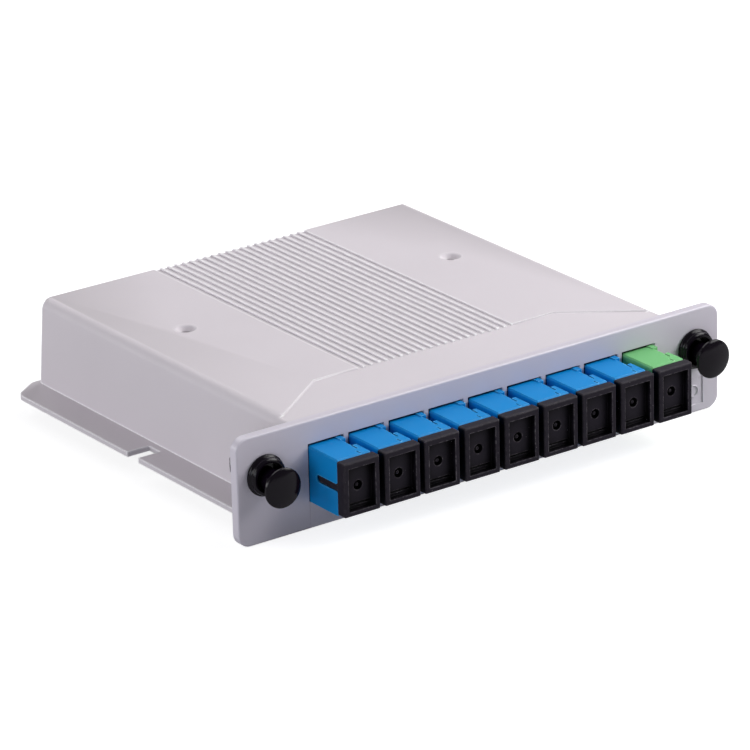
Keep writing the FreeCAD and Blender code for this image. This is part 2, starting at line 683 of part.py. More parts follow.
def latch_grommet(x):
    """Flange and collar in front of the panel, split barrel and pointed tip behind it."""
    bore = BARREL_R - BARREL_WALL
    shoulder_y = -FLANGE_T
    collar_y = shoulder_y - COLLAR_RISE
    tip_y = BARREL_L + TIP_L
    rim_r = FLANGE_T / 2
    rim = arc_points((FLANGE_R - rim_r, -rim_r), RIM_STEPS, 90, -90, rim_r)
    profile = [(bore, collar_y), (COLLAR_R - COLLAR_BEVEL, collar_y),
               (COLLAR_R, collar_y + COLLAR_BEVEL), (COLLAR_R + COLLAR_FOOT, shoulder_y)]
    profile += list(reversed(rim))
    profile += [(BARREL_NECK_R, 0), (BARREL_NECK_R, PANEL_T), (BARREL_R, PANEL_T),
                (BARREL_R, BARREL_L), (TIP_R, tip_y), (TIP_STEP, tip_y), (bore, BARREL_L)]
    solid = turned(profile, x, LATCH_Z)
    slits = [
        box(x - LEG_SLIT / 2, x + LEG_SLIT / 2, LEG_START, tip_y + 1,
            LATCH_Z - BARREL_R - 1, LATCH_Z + BARREL_R + 1),
        box(x - BARREL_R - 1, x + BARREL_R + 1, LEG_START, tip_y + 1,
            LATCH_Z - LEG_SLIT / 2, LATCH_Z + LEG_SLIT / 2),
    ]
    return solid.cut(slits)


def latch_plunger(x):
    """Mushroom knob on a stem that runs in the grommet's bore."""
    rim_front = -KNOB_Y - KNOB_RIM_T / 2
    rim_back = -KNOB_Y + KNOB_RIM_T / 2
    dome_r = (KNOB_R ** 2 + KNOB_DOME ** 2) / (2 * KNOB_DOME)
    dome = []
    for i in range(DOME_STEPS + 1):
        r = KNOB_R * (DOME_STEPS - i) / DOME_STEPS
        rise = math.sqrt(dome_r ** 2 - r ** 2) - (dome_r - KNOB_DOME)
        dome.append((r, rim_front - rise))
    profile = [(0, STEM_IN), (STEM_R - STEM_BEVEL, STEM_IN), (STEM_R, STEM_IN - STEM_BEVEL),
               (STEM_R, rim_back + KNOB_FLARE_L), (KNOB_NECK_R, rim_back + KNOB_NECK_L),
               (KNOB_R, rim_back)]
    return turned(profile + dome, x, LATCH_Z)


# ---------------------------------------------------------------- splitter and fibres

def splitter_ends():
    return SPLITTER_X - SPLITTER_L / 2, SPLITTER_X + SPLITTER_L / 2


def splitter_module():
    x0, x1 = splitter_ends()
    half = SPLITTER_SIDE / 2
    bar = box(x0, x1, SPLITTER_Y - half, SPLITTER_Y + half, SPLITTER_Z - half, SPLITTER_Z + half)
    along_x = Vector(1, 0, 0)
    return bar.makeFillet(SPLITTER_EDGE_R, edges_where(bar, lambda e: runs_along(e, along_x)))


def splitter_pad():
    return box(SPLITTER_X - PAD_L / 2, SPLITTER_X + PAD_L / 2,
               SPLITTER_Y - PAD_W / 2, SPLITTER_Y + PAD_W / 2, FLOOR_Z, FLOOR_Z + PAD_T)


def fan_out_block():
    x1 = splitter_ends()[0]
    top = fibre_level(PORT_COUNT - 2) + FAN_MARGIN
    block = box(x1 - FAN_L, x1, SPLITTER_Y - FAN_W / 2, SPLITTER_Y + FAN_W / 2, FLOOR_Z, top)
    upright = Vector(0, 0, 1)
    return block.makeFillet(SPLITTER_EDGE_R, edges_where(block, lambda e: runs_along(e, upright)))


def fibre_level(i):
    return FIBRE_LEVEL_Z + i * FIBRE_LEVEL_PITCH


def fibre(points):
    """Round tube along straight runs joined by the largest arcs that the runs allow."""
    corners = [Vector(*p) for p in points]
    edges = []
    length = 0.0
    start = corners[0]
    for before, corner, after in zip(corners, corners[1:], corners[2:]):
        into = (corner - before).normalize()
        out = (after - corner).normalize()
        turn = into.getAngle(out)
        reach = ARC_SHARE * min((corner - before).Length, (after - corner).Length)
        radius = reach / math.tan(turn / 2)
        first = corner - into * reach
        last = corner + out * reach
        inward = (out - into).normalize()
        middle = corner + inward * (radius / math.cos(turn / 2) - radius)
        edges.append(Part.LineSegment(start, first).toShape())
        edges.append(Part.Arc(first, middle, last).toShape())
        print("fibre arc radius %.1f" % radius)
        start = last
    edges.append(Part.LineSegment(start, corners[-1]).toShape())
    length = sum(edge.Length for edge in edges)
    path = Part.Wire(edges)
    run = (corners[1] - corners[0]).normalize()
    ring = Part.Wire(Part.makeCircle(FIBRE_R, corners[0], run))
    tube = path.makePipeShell([ring], True, True)
    ratio = tube.Volume / (math.pi * FIBRE_R ** 2 * length)
    print("fibre volume ratio %.4f" % ratio)
    return tube


def output_fibre(i):
    """From the fan-out block to the connector of port i, on a level of its own."""
    x = PORT_XS[i]
    z = fibre_level(i)
    start_x = splitter_ends()[0] - FAN_L
    end = [(x, DROP_Y, z), (x, LEVEL_Y, PORT_Z), (x, CONNECTOR_END_Y, PORT_Z)]
    if x < start_x - PORT_PITCH:
        return fibre([(start_x, SPLITTER_Y, z), (x, SPLITTER_Y, z)] + end)
    around = [(start_x, SPLITTER_Y, z), (TURN_X, SPLITTER_Y, z), (TURN_X, CROSS_Y, z),
              (x, CROSS_Y, z)]
    return fibre(around + end)


def input_fibre():
    """From the splitter's single-fibre end to the connector of the last port."""
    x = PORT_XS[-1]
    start_x = splitter_ends()[1]
    return fibre([(start_x, SPLITTER_Y, SPLITTER_Z), (x, SPLITTER_Y, SPLITTER_Z),
                  (x, DROP_Y, SPLITTER_Z), (x, LEVEL_Y, PORT_Z), (x, CONNECTOR_END_Y, PORT_Z)])


# ---------------------------------------------------------------- write the pieces

def all_pieces():
    pieces = {
        "front_panel": front_panel(),
        "base_tray": base_tray(),
        "cover": cover(),
        "splitter_module": splitter_module(),
        "splitter_foam_pad": splitter_pad(),
        "fan_out_block": fan_out_block(),
        "input_fibre": input_fibre(),
    }
    for i, x in enumerate(PORT_XS):
        number = i + 1
        pieces["adapter_housing_%d" % number] = adapter_housing(x)
        pieces["alignment_sleeve_%d" % number] = alignment_sleeve(x)
        pieces["inner_connector_%d" % number] = inner_connector(x)
        pieces["dust_plug_%d" % number] = dust_plug(x)
        if number < PORT_COUNT:
            pieces["output_fibre_%d" % number] = output_fibre(i)
    for side, x in (("left", -LATCH_X), ("right", LATCH_X)):
        pieces["latch_grommet_" + side] = latch_grommet(x)
        pieces["latch_plunger_" + side] = latch_plunger(x)
    return pieces


def main():
    os.makedirs("parts", exist_ok=True)
    for name, shape in all_pieces().items():
        shape.translate(Vector(0, -ORIGIN_Y, 0))
        print("%-22s %d solid  valid %s" % (name, len(shape.Solids), shape.isValid()))
        shape.exportStep("parts/%s.step" % name)


main()
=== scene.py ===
# %% [markdown]
# # A fibre splitter cassette
#
# This object slides into a rack and splits one optical fibre into eight. It has a moulded case
# with a ribbed cover, a front panel with nine connector ports, a black dust plug in each port and
# a push latch at each end of the panel. The CAD model gives every size, so this notebook only
# gives the pieces soft edges, finishes, light and a camera.

# %% Load the frame
import json
import math

import bmesh
import bpy
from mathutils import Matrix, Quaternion, Vector

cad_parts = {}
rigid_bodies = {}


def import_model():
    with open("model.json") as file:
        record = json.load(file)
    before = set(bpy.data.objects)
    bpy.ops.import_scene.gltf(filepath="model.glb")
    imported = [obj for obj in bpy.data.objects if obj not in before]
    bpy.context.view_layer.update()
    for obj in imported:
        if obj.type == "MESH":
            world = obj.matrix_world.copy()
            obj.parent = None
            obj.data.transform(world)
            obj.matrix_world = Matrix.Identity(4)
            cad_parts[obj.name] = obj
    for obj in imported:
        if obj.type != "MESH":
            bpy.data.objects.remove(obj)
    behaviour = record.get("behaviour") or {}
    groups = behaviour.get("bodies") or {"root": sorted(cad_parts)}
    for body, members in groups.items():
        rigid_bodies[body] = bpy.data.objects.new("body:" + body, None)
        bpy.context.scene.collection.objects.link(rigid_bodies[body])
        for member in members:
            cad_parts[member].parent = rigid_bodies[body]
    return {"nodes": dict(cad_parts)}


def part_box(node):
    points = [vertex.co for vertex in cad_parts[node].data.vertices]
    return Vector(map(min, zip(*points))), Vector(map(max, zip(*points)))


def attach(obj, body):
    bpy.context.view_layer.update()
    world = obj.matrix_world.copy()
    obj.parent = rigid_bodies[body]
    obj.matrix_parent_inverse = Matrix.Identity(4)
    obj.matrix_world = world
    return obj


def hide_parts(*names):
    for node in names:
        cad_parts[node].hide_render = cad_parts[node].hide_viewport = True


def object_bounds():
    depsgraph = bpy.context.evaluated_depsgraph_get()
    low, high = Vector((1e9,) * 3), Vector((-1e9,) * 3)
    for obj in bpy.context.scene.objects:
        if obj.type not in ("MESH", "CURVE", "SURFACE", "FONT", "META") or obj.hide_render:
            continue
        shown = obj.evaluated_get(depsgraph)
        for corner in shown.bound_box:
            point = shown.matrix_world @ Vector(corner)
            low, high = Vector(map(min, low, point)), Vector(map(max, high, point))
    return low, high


for leftover in list(bpy.data.objects):
    bpy.data.objects.remove(leftover)
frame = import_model()
cad_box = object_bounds()
print("CAD box in millimetres:", [[round(value * 1000, 2) for value in corner] for corner in cad_box])

# %% [markdown]
# ## Measures
#
# Blender works in metres, but a part this small is easier to think about in millimetres, so MM
# turns one into the other. Places are read from the CAD pieces. The panel's front face is the
# plane that everything in front of the case is measured from.

# %% Measures
MM = 0.001
PORTS = range(1, 10)
SIDES = ("left", "right")
panel_low, panel_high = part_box("front_panel")
PANEL_FRONT = panel_low.y
cover_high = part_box("cover")[1]
print("The panel's front face lies at y =", round(PANEL_FRONT / MM, 2), "mm")


def placed(name, data):
    """A new object in the scene, at the origin."""
    new_object = bpy.data.objects.new(name, data)
    bpy.context.scene.collection.objects.link(new_object)
    return new_object


# %% [markdown]
# ## The camera
#
# The cassette is seen from its left front corner and from above, through a long lens from about a
# metre away, which keeps its parallel edges nearly parallel. A camera is easiest to place by what
# it looks at: a target, a distance, and three angles. The small roll is the tilt of the hands that
# held it.

# %% The camera
CAMERA_TARGET = Vector((-28.923 * MM, PANEL_FRONT, 30.603 * MM))
CAMERA_DISTANCE = 1.0758
CAMERA_TURN = math.radians(35.319)
CAMERA_HEIGHT = math.radians(21.321)
CAMERA_ROLL = math.radians(-1.479)
LENS = 243.8
SENSOR_WIDTH = 36
CLIP_NEAR, CLIP_FAR = 0.05, 20

camera_data = bpy.data.cameras.new("camera")
camera_data.lens = LENS
camera_data.sensor_width = SENSOR_WIDTH
camera_data.clip_start = CLIP_NEAR
camera_data.clip_end = CLIP_FAR
camera = placed("camera", camera_data)
towards_camera = Vector((-math.sin(CAMERA_TURN) * math.cos(CAMERA_HEIGHT),
                         -math.cos(CAMERA_TURN) * math.cos(CAMERA_HEIGHT),
                         math.sin(CAMERA_HEIGHT)))
camera.rotation_mode = "QUATERNION"
camera.location = CAMERA_TARGET + towards_camera * CAMERA_DISTANCE
camera.rotation_quaternion = (towards_camera.to_track_quat("Z", "Y")
                              @ Quaternion((0, 0, 1), CAMERA_ROLL))
bpy.context.scene.camera = camera
bpy.context.scene.view_settings.view_transform = "Standard"
print("The camera stands at", [round(value, 3) for value in camera.location])

# %% [markdown]
# ## Helpers for shader nodes
#
# A finish is a graph of nodes. Written out in full, each node takes four or five lines, so `add`
# makes one node, sets its properties, and fills its sockets with numbers or links in one call.
# Sums and mixed colours come up all the time, so they get a helper each. Colours are given as they
# are read off a swatch and made linear, as the shaders need them.

# %% Helpers for shader nodes
WHITE = (1, 1, 1, 1)


def srgb(red, green, blue):
    """A swatch colour, 0 to 255 a channel, as the linear colour that a shader takes."""
    def linear(value):
        value /= 255
        return value / 12.92 if value <= 0.04045 else ((value + 0.055) / 1.055) ** 2.4
    return linear(red), linear(green), linear(blue), 1.0


def cleared_nodes(owner):
    """The node tree of a material or world, switched on and emptied."""
    owner.use_nodes = True
    owner.node_tree.nodes.clear()
    return owner.node_tree


def add(tree, kind, sockets=None, **settings):
    """A new node. A socket is given a number, a colour, or another node's output."""
    node = tree.nodes.new(kind)
    for name, value in settings.items():
        setattr(node, name, value)
    for name, value in (sockets or {}).items():
        if isinstance(value, bpy.types.NodeSocket):
            tree.links.new(value, node.inputs[name])
        else:
            node.inputs[name].default_value = value
    return node


def calc(tree, operation, first, second, **settings):
    """The output of a node that works on two numbers."""
    return add(tree, "ShaderNodeMath", {0: first, 1: second},
               operation=operation, **settings).outputs[0]


def mixed_colour(tree, factor, first, second):
    """The output of a node that goes from the first colour to the second."""
    return add(tree, "ShaderNodeMix", {0: factor, 6: first, 7: second},
               data_type="RGBA").outputs[2]


# %% [markdown]
# ## The white background
#
# The cassette stands against plain white. A white background made with more light would burn out
# the pale case, so the floor and the world only look white to the rays that ask for it: the Light
# Path node tells the shader who is asking. The camera sees all of the white, and so would glass.
# A gloss sees a share of it, because the room on the maker's side of a light table is darker than
# the table.

# %% Who sees the white background
GLOSS_SHARE = 0.15


def white_share(tree):
    """How much of the white background a ray sees, from 0 to 1."""
    rays = add(tree, "ShaderNodeLightPath").outputs
    gloss = calc(tree, "MULTIPLY", rays["Is Glossy Ray"], GLOSS_SHARE)
    seen = calc(tree, "MAXIMUM", rays["Is Camera Ray"], rays["Is Transmission Ray"])
    return calc(tree, "MAXIMUM", seen, gloss)


# %% [markdown]
# ## The floor
#
# The floor is one large square just under the case. It adds a glow to its own shading instead of
# being lit more, which makes it look white and still keeps the soft shadow under the case.

# %% The floor
FLOOR_HALF = 3.0
FLOOR_DROP = 0.1 * MM
FLOOR_COLOUR = (0.45, 0.45, 0.46, 1)
FLOOR_GLOW = 0.8

floor_z = cad_box[0].z - FLOOR_DROP
floor_shape = bmesh.new()
bmesh.ops.create_grid(floor_shape, x_segments=1, y_segments=1, size=FLOOR_HALF)
bmesh.ops.translate(floor_shape, verts=floor_shape.verts, vec=(0, 0, floor_z))
floor_mesh = bpy.data.meshes.new("studio_floor")
floor_shape.to_mesh(floor_mesh)
floor_shape.free()
studio_floor = placed("studio_floor", floor_mesh)

floor_material = bpy.data.materials.new("pale_floor")
tree = cleared_nodes(floor_material)
paint = add(tree, "ShaderNodeBsdfDiffuse", {"Color": FLOOR_COLOUR})
glow = add(tree, "ShaderNodeEmission",
           {"Color": WHITE, "Strength": calc(tree, "MULTIPLY", white_share(tree), FLOOR_GLOW)})
both = add(tree, "ShaderNodeAddShader", {0: paint.outputs[0], 1: glow.outputs[0]})
add(tree, "ShaderNodeOutputMaterial", {"Surface": both.outputs[0]})
floor_mesh.materials.append(floor_material)
print("The floor lies at z =", round(floor_z / MM, 2), "mm")

# %% [markdown]
# ## The world
#
# A studio is never quite dark, so the world gives a little even light from all around. Rays that
# see the background get white instead, through the same share as on the floor.

# %% The world
AMBIENT = (0.05, 0.05, 0.052, 1)

world = bpy.data.worlds.new("white_studio")
bpy.context.scene.world = world
tree = cleared_nodes(world)
room = add(tree, "ShaderNodeBackground", {"Color": AMBIENT, "Strength": 1.0})
white = add(tree, "ShaderNodeBackground", {"Color": WHITE, "Strength": 1.0})
either = add(tree, "ShaderNodeMixShader",
             {0: white_share(tree), 1: room.outputs[0], 2: white.outputs[0]})
add(tree, "ShaderNodeOutputWorld", {"Surface": either.outputs[0]})
print("The world's even light is", AMBIENT[:3])

# %% [markdown]
# ## The lamps
#
# Soft studio light comes from large square lamps, because a large lamp makes shadows with wide soft
# edges. Most of it comes from the right and from above, from four lamps side by side that act as
# one long light: it throws the shadows to the left of each port. Two of the four stand close, so
# that their light falls off along the panel. One lamp behind lifts the roof, and three weak ones at
# the left light the long side wall, the last of them slightly cool.

# %% The lamps
CASE_MIDDLE = Vector((0, 0, 0.015))
NEUTRAL = (1, 1, 1)
COOL = (0.92, 0.98, 1.08)
LAMPS = {
    # name: (place, width, height, power, colour)
    "over_lamp": ((0.65, 0.15, 0.70), 0.6, 0.6, 4.7, NEUTRAL),
    "back_lamp": ((0.0, 0.80, 0.65), 0.7, 0.6, 2.4, NEUTRAL),
    "key_lamp": ((0.51, -0.20, 0.40), 0.27, 0.27, 1.45, NEUTRAL),
    "panel_lamp": ((0.31, -0.34, 0.20), 0.2, 0.2, 0.58, NEUTRAL),
    "high_lamp": ((0.5, -0.5, 0.8), 0.45, 0.45, 2.6, NEUTRAL),
    "left_lamp": ((-0.85, 0.1, 0.40), 0.6, 0.4, 2.4, NEUTRAL),
    "left_back_card": ((-0.7, 0.6, 0.15), 0.6, 0.25, 1.7, NEUTRAL),
    "left_front_card": ((-0.75, -0.5, 0.2), 0.4, 0.3, 1.5, COOL),
}


def softbox(name, place, width, height, power, colour):
    """A rectangular lamp at a place, turned to face the case."""
    lamp = bpy.data.lights.new(name, "AREA")
    lamp.shape = "RECTANGLE"
    lamp.size = width
    lamp.size_y = height
    lamp.energy = power
    lamp.color = colour
    stand = placed(name, lamp)
    stand.location = place
    stand.rotation_mode = "QUATERNION"
    stand.rotation_quaternion = (CASE_MIDDLE - Vector(place)).to_track_quat("-Z", "Y")


for name, settings in LAMPS.items():
    softbox(name, *settings)
print(len(LAMPS), "lamps")

# %% [markdown]
# ## Shared effects
#
# Moulded plastic is never one flat colour. Its skin carries the fine grain of the mould, its colour
# drifts a little, its outer edges are rubbed paler and dust sits on it. Two more effects are painted
# light: a painted highlight along the outer edges and painted shade in gaps and pockets. Several
# finishes need each of these, so each one is a node group with its size in millimetres, built once
# and used with other values in each material. All of them read Object coordinates, which stay fixed
# to the piece.

# %% Helpers for shared effects
def new_group(name, inputs, output):
    """An empty shader group with named number sockets, and what it is given."""
    group = bpy.data.node_groups.new(name, "ShaderNodeTree")
    for label, value in inputs.items():
        group.interface.new_socket(label, in_out="INPUT",
                                   socket_type="NodeSocketFloat").default_value = value
    group.interface.new_socket(output, in_out="OUTPUT", socket_type="NodeSocketFloat")
    return group, add(group, "NodeGroupInput").outputs


def sized_place(tree, size):
    """Object coordinates counted in cells of a size in millimetres."""
    place = add(tree, "ShaderNodeTexCoord").outputs["Object"]
    cells = calc(tree, "DIVIDE", 1 / MM, size)
    return add(tree, "ShaderNodeVectorMath", {0: place, "Scale": cells}, operation="SCALE").outputs[0]


def cloud(tree, size, detail, **sockets):
    """The output of a soft noise whose blobs are a size in millimetres."""
    return add(tree, "ShaderNodeTexNoise", {"Vector": sized_place(tree, size), "Scale": 1.0,
                                            "Detail": detail, **sockets}).outputs[0]


# %% [markdown]
# ## The grain of the mould
#
# A mould is sparked or blasted, and its skin prints on every part that leaves it. A noise with
# several levels of detail gives the same small pits, and it serves as a height.

# %% The grain of the mould
grain, given = new_group("mould_grain", {"Size": 0.3}, "Height")
add(grain, "NodeGroupOutput", {"Height": cloud(grain, given["Size"], 3.0, Roughness=0.7)})

# %% [markdown]
# ## The slow drift of colour
#
# Pigment doesn't mix quite evenly in a large moulding. A wide soft noise moves the colour slowly
# between two near shades.

# %% The slow drift of colour
drift, given = new_group("colour_drift", {"Size": 20.0}, "Value")
add(drift, "NodeGroupOutput", {"Value": cloud(drift, given["Size"], 2.0)})

# %% [markdown]
# ## Rubbed outer edges and painted highlights
#
# Handling polishes the outer edges paler, and the pale line is also a painted highlight, standing in
# for the light that a rounded edge catches. Painting them by hand would be slow, but seen from inside
# the solid an outer edge is a tight corner, so ambient occlusion that looks inwards finds it. A fine
# noise breaks the pale line up, and a place along the piece says where it starts, because an edge
# that another piece covers isn't rubbed.

# %% Rubbed outer edges and painted highlights
EDGE_STARTS, EDGE_FULL = 0.92, 0.55
PATCH_STARTS, PATCH_FULL = 0.42, 0.62
ANYWHERE = -1000.0

wear_and_highlight, given = new_group("rubbed_edges_and_highlights", {"Reach": 0.25, "Patch": 0.8, "Evenness": 0.15,
                                           "Behind": ANYWHERE, "Amount": 1.0}, "Mask")
corner = add(wear_and_highlight, "ShaderNodeAmbientOcclusion",
             {"Distance": calc(wear_and_highlight, "MULTIPLY", given["Reach"], MM)},
             inside=True, only_local=True, samples=6).outputs["AO"]
near_edge = add(wear_and_highlight, "ShaderNodeMapRange", {"Value": corner, "From Min": EDGE_STARTS,
                                               "From Max": EDGE_FULL}).outputs[0]
ragged = add(wear_and_highlight, "ShaderNodeMapRange",
             {"Value": cloud(wear_and_highlight, given["Patch"], 3.0), "From Min": PATCH_STARTS,
              "From Max": PATCH_FULL, "To Min": given["Evenness"]}).outputs[0]
along = add(wear_and_highlight, "ShaderNodeSeparateXYZ", {0: sized_place(wear_and_highlight, 1.0)}).outputs["Y"]
uncovered = calc(wear_and_highlight, "GREATER_THAN", along, given["Behind"])
worn_and_lit = calc(wear_and_highlight, "MULTIPLY", calc(wear_and_highlight, "MULTIPLY", near_edge, ragged), uncovered)
add(wear_and_highlight, "NodeGroupOutput",
    {"Mask": calc(wear_and_highlight, "MULTIPLY", worn_and_lit, given["Amount"], use_clamp=True)})

# %% [markdown]
# ## Painted shade in gaps and pockets
#
# Gaps and pockets are darkened with painted shade. Ambient occlusion that looks outwards finds them,
# and the dark colour laid over them stands in for the shade that falls there.

# %% Painted shade in gaps and pockets
painted_shade, given = new_group("painted_gap_shade", {"Reach": 2.0, "Start": 0.8, "End": 0.4}, "Mask")
open_sky = add(painted_shade, "ShaderNodeAmbientOcclusion",
               {"Distance": calc(painted_shade, "MULTIPLY", given["Reach"], MM)}, samples=8).outputs["AO"]
shut_in = add(painted_shade, "ShaderNodeMapRange", {"Value": open_sky, "From Min": given["Start"],
                                           "From Max": given["End"]}).outputs[0]
add(painted_shade, "NodeGroupOutput", {"Mask": shut_in})

# %% [markdown]
# ## Specks of dust
#
# Dust shows on black rubbery plastic as small pale dots, far apart. A Voronoi texture has one dot in
# each cell, and a share of the cells, chosen by the cell's own colour, keeps its dot.

# %% Specks of dust
specks, given = new_group("dust_specks", {"Spacing": 0.8, "Share": 0.2, "Width": 0.12}, "Mask")
cells = add(specks, "ShaderNodeTexVoronoi", {"Vector": sized_place(specks, given["Spacing"]),
                                             "Scale": 1.0}).outputs
dot = calc(specks, "LESS_THAN", cells["Distance"], given["Width"])
lot = add(specks, "ShaderNodeSeparateColor", {0: cells["Color"]}).outputs[0]
chosen = calc(specks, "LESS_THAN", lot, given["Share"])
add(specks, "NodeGroupOutput", {"Mask": calc(specks, "MULTIPLY", dot, chosen)})
print("Shared effects:", [group.name for group in bpy.data.node_groups])

# %% [markdown]
# ## Moulded plastics
#
# Nearly everything here is injection moulded, and the finishes differ in colour, gloss and the
# depth of the grain. One function builds them all, so that each finish is a short call. Rubbed
# edges with their painted highlight, painted shade in gaps and pockets, and dust each lay one more
# colour over the last, through their own mask. The grain is a height for a Bump node, at a depth of
# a few thousandths of a millimetre, and it also makes the gloss a little uneven.

# %% How a moulded plastic is made
DRIFT_SIZE = 25.0
DRIFT_SHADE = 0.94
GRAIN_LOW, GRAIN_HIGH = 0.3, 0.7
GLOSS_SPREAD = 0.04
finishes = {}


def use_group(tree, group, **values):
    """The output of a shared effect with these values."""
    node = add(tree, "ShaderNodeGroup", node_tree=group)
    for label, value in values.items():
        node.inputs[label].default_value = value
    return node.outputs[0]


def moulded_plastic(name, colour, roughness, grain_size, grain_depth, layers=(), specular=0.5):
    """Adds a plastic to the finishes. A layer is a shared effect, its colour and its values."""
    material = bpy.data.materials.new(name)
    tree = cleared_nodes(material)
    darker = tuple(value * DRIFT_SHADE for value in colour[:3]) + (1.0,)
    base = mixed_colour(tree, use_group(tree, drift, Size=DRIFT_SIZE), darker, colour)
    for effect, over_colour, values in layers:
        base = mixed_colour(tree, use_group(tree, effect, **values), base, over_colour)
    height = use_group(tree, grain, Size=grain_size)
    skin = add(tree, "ShaderNodeBump", {"Height": height, "Strength": 1.0,
                                        "Distance": grain_depth * MM})
    gloss = add(tree, "ShaderNodeMapRange", {"Value": height, "From Min": GRAIN_LOW,
                                             "From Max": GRAIN_HIGH,
                                             "To Min": roughness - GLOSS_SPREAD,
                                             "To Max": roughness + GLOSS_SPREAD})
    shader = add(tree, "ShaderNodeBsdfPrincipled",
                 {"Base Color": base, "Roughness": gloss.outputs[0], "Normal": skin.outputs[0],
                  "IOR": 1.5, "Specular IOR Level": specular})
    add(tree, "ShaderNodeOutputMaterial", {"Surface": shader.outputs[0]})
    finishes[name] = material


# %% [markdown]
# ## The plastics of the case
#
# The case and the panel are both pale grey. The case has the coarser, duller skin and pale rubbed
# edges, which are partly a painted highlight, except at its front, where the panel covers them. The
# panel is smoother and a touch bluer.

# %% The plastics of the case
COVERED_FRONT = 4

# The near-white edge colour is wear and a painted highlight at once: it gives the cover's step and
# rims their bright line.
moulded_plastic("case_plastic", srgb(210, 203, 209), 0.55, 0.22, 0.010,
                [(wear_and_highlight, srgb(254, 253, 255), {"Amount": 1.0, "Reach": 0.5, "Evenness": 0.7,
                                                "Behind": PANEL_FRONT / MM + COVERED_FRONT})])
moulded_plastic("panel_plastic", srgb(209, 203, 214), 0.36, 0.5, 0.0015)

# %% [markdown]
# ## The plastics of the ports and latches
#
# The adapters are a satin blue or green with pale worn edges that are partly a painted highlight,
# and painted shade darkens their slits and gaps to nearly black. The dust plugs are a soft dull
# black with pale edges, worn and partly a painted highlight, painted shade that turns their
# pockets deep black, and dust. The latches are the glossiest pieces, in a hard polished black,
# with painted shade in their hollows.

# %% The plastics of the ports and latches
# The first set of values lays pale wear and a painted highlight on the adapters' edges, the second
# lays painted shade in their slits and gaps.
WORN_EDGE_AND_HIGHLIGHT = {"Amount": 0.8, "Reach": 0.3, "Evenness": 0.3}
SLIT_SHADE = {"Reach": 1.2, "Start": 0.55, "End": 0.25}

moulded_plastic("adapter_blue", srgb(0, 135, 208), 0.45, 0.18, 0.003,
                [(wear_and_highlight, srgb(110, 195, 240), WORN_EDGE_AND_HIGHLIGHT), (painted_shade, srgb(4, 8, 30), SLIT_SHADE)],
                specular=0.15)
moulded_plastic("adapter_green", srgb(116, 190, 122), 0.45, 0.18, 0.003,
                [(wear_and_highlight, srgb(180, 230, 180), WORN_EDGE_AND_HIGHLIGHT), (painted_shade, srgb(6, 24, 12), SLIT_SHADE)],
                specular=0.15)
# The plugs' pale edges are wear and a painted highlight, the near-black layer is painted shade in
# their pockets, and the specks are dust.
moulded_plastic("dust_plug_black", srgb(37, 33, 41), 0.45, 0.16, 0.008,
                [(wear_and_highlight, srgb(150, 144, 150), {"Amount": 0.6, "Reach": 0.3, "Evenness": 0.1}),
                 (painted_shade, srgb(0, 0, 1), {"Reach": 4.0, "Start": 0.85, "End": 0.55}),
                 (specks, srgb(110, 108, 112), {"Share": 0.06})],
                specular=0.1)
# The black layer on the latches is painted shade in their hollows.
moulded_plastic("latch_black", srgb(13, 7, 17), 0.13, 0.5, 0.001,
                [(painted_shade, srgb(0, 0, 0), {"Reach": 2.5, "Start": 0.8, "End": 0.4})],
                specular=0.22)

# %% [markdown]
# ## The plastics sealed inside
#
# The hidden pieces get the colours such parts usually have: blue and green connectors, a black
# fan-out block, cream and yellow fibre, a white ceramic and a dark open foam with a deep grain.

# %% The plastics sealed inside
moulded_plastic("connector_blue", srgb(18, 76, 158), 0.4, 0.2, 0.004)
moulded_plastic("connector_green", srgb(38, 140, 64), 0.4, 0.2, 0.004)
moulded_plastic("block_plastic", srgb(31, 31, 33), 0.5, 0.25, 0.008)
moulded_plastic("fibre_output", srgb(230, 225, 205), 0.35, 0.5, 0.001)
moulded_plastic("fibre_input", srgb(235, 204, 64), 0.35, 0.5, 0.001)
moulded_plastic("sleeve_ceramic", srgb(238, 235, 225), 0.15, 0.4, 0.0005)
moulded_plastic("pad_foam", srgb(38, 38, 41), 0.9, 0.25, 0.12)
print("Finishes so far:", sorted(finishes))

# %% [markdown]
# ## Brushed steel
#
# The splitter's chip is glued into a drawn steel bar, brushed along its length. The only metal here
# gets its own material: noise stretched along the bar draws the scratches, and the same scratches
# drive its colour, its roughness and its fine grooves.

# %% Brushed steel of the splitter's bar
SCRATCH_SCALE = (60, 9000, 9000)
SMOOTHEST, ROUGHEST = 0.2, 0.42
GROOVE_DEPTH = 0.002

steel = bpy.data.materials.new("splitter_steel")
tree = cleared_nodes(steel)
place = add(tree, "ShaderNodeTexCoord").outputs["Object"]
along_bar = add(tree, "ShaderNodeMapping", {"Vector": place, "Scale": SCRATCH_SCALE})
scratches = add(tree, "ShaderNodeTexNoise", {"Vector": along_bar.outputs[0], "Scale": 1.0,
                                             "Detail": 4.0}).outputs[0]
brushed = mixed_colour(tree, scratches, srgb(168, 168, 170), srgb(205, 205, 208))
rough = add(tree, "ShaderNodeMapRange", {"Value": scratches, "To Min": SMOOTHEST,
                                         "To Max": ROUGHEST}).outputs[0]
grooves = add(tree, "ShaderNodeBump", {"Height": scratches,
                                       "Distance": GROOVE_DEPTH * MM}).outputs[0]
shader = add(tree, "ShaderNodeBsdfPrincipled", {"Base Color": brushed, "Roughness": rough,
                                                "Normal": grooves, "Metallic": 1.0})
add(tree, "ShaderNodeOutputMaterial", {"Surface": shader.outputs[0]})
finishes["splitter_steel"] = steel

# %% [markdown]
# ## Finishes on the CAD pieces
#
# Each CAD piece carries a material slot with the name of its finish. The pieces sealed inside the
# case keep their CAD shape and only get the finish put in that slot.

